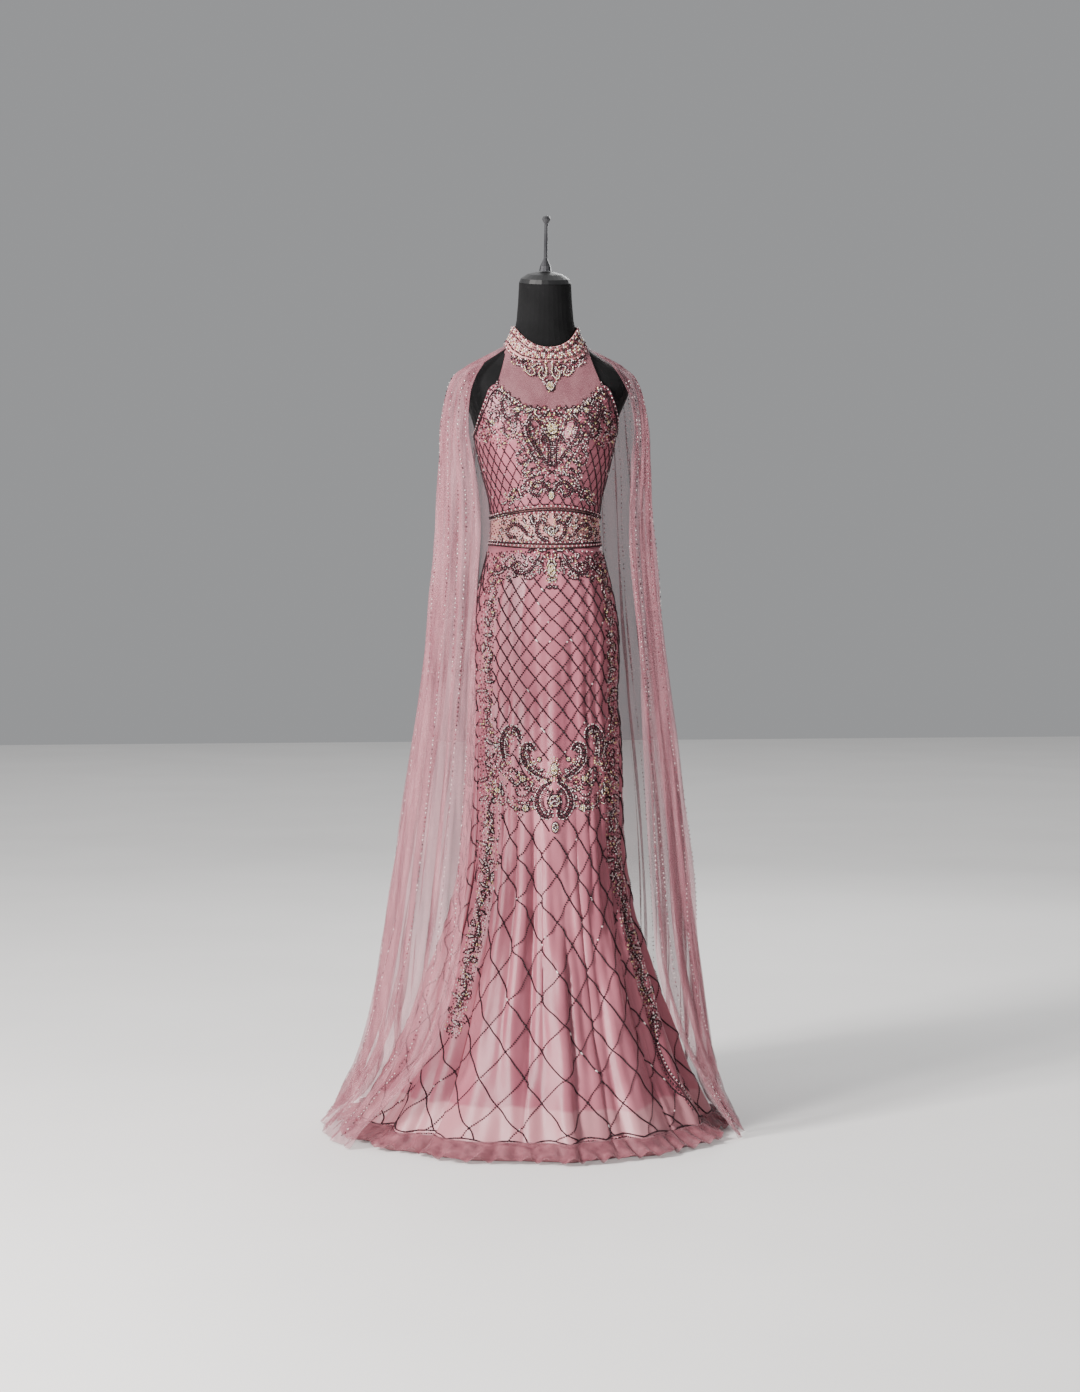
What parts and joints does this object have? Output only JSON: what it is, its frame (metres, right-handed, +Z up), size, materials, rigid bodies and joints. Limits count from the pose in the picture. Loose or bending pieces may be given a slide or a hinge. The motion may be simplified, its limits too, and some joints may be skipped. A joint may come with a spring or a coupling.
{
  "type": "prom dress on a dress form",
  "caption": "Floor-length beaded halter gown with a trumpet skirt and a sheer floor-length cape, worn by a limbless dress form on a round stand",
  "frame": {"origin": "centre of the stand's flat underside, on the floor under the dress form's pole", "axes": "+Z up, the gown faces -Y, the wearer's left side is +X"},
  "size_m": [0.8143, 0.8564, 1.7649],
  "materials": {
    "form_cloth": "matt stretch cover",
    "form_cap": "satin",
    "form_steel": "dark satin",
    "sheer_net": "sheer matt net",
    "beaded_satin": "soft sheen under a bead lattice",
    "beaded_band": "close beadwork",
    "bead_scroll": "glossy glass beads",
    "crystal": "faceted"
  },
  "bodies": {
    "root": {"bodice_back": "beaded_satin", "bodice_front": "beaded_satin", "bust_inner_scroll_left": "bead_scroll", "bust_inner_scroll_right": "bead_scroll", "bust_scroll_left": "bead_scroll", "bust_scroll_right": "bead_scroll", "bust_stone": "crystal", "cape_back": "sheer_net", "cape_left": "sheer_net", "cape_right": "sheer_net", "collar": "beaded_band", "collar_scroll_left": "bead_scroll", "collar_scroll_right": "bead_scroll", "collar_side_scroll_left": "bead_scroll", "collar_side_scroll_right": "bead_scroll", "collar_stone": "crystal", "form_finial": "form_steel", "form_neck_cap": "form_cap", "form_stand": "form_steel", "form_torso": "form_cloth", "hem_flounce_back": "sheer_net", "hem_flounce_front": "sheer_net", "hip_scroll_left": "bead_scroll", "hip_scroll_right": "bead_scroll", "hip_stone": "crystal", "knee_drop_stone": "crystal", "knee_heart_scroll_left": "bead_scroll", "knee_heart_scroll_right": "bead_scroll", "knee_inner_scroll_left": "bead_scroll", "knee_inner_scroll_right": "bead_scroll", "knee_outer_scroll_left": "bead_scroll", "knee_outer_scroll_right": "bead_scroll", "knee_stone": "crystal", "knee_upper_stone": "crystal", "midriff_scroll_left": "bead_scroll", "midriff_scroll_right": "bead_scroll", "midriff_stone": "crystal", "skirt_back": "beaded_satin", "skirt_front": "beaded_satin", "sweetheart_scroll_left": "bead_scroll", "sweetheart_scroll_right": "bead_scroll", "waist_heart_scroll_left": "bead_scroll", "waist_heart_scroll_right": "bead_scroll", "waist_side_scroll_left": "bead_scroll", "waist_side_scroll_right": "bead_scroll", "waist_stone": "crystal", "waistband_back": "beaded_band", "waistband_front": "beaded_band", "yoke_front": "sheer_net"}
  },
  "joints": []
}
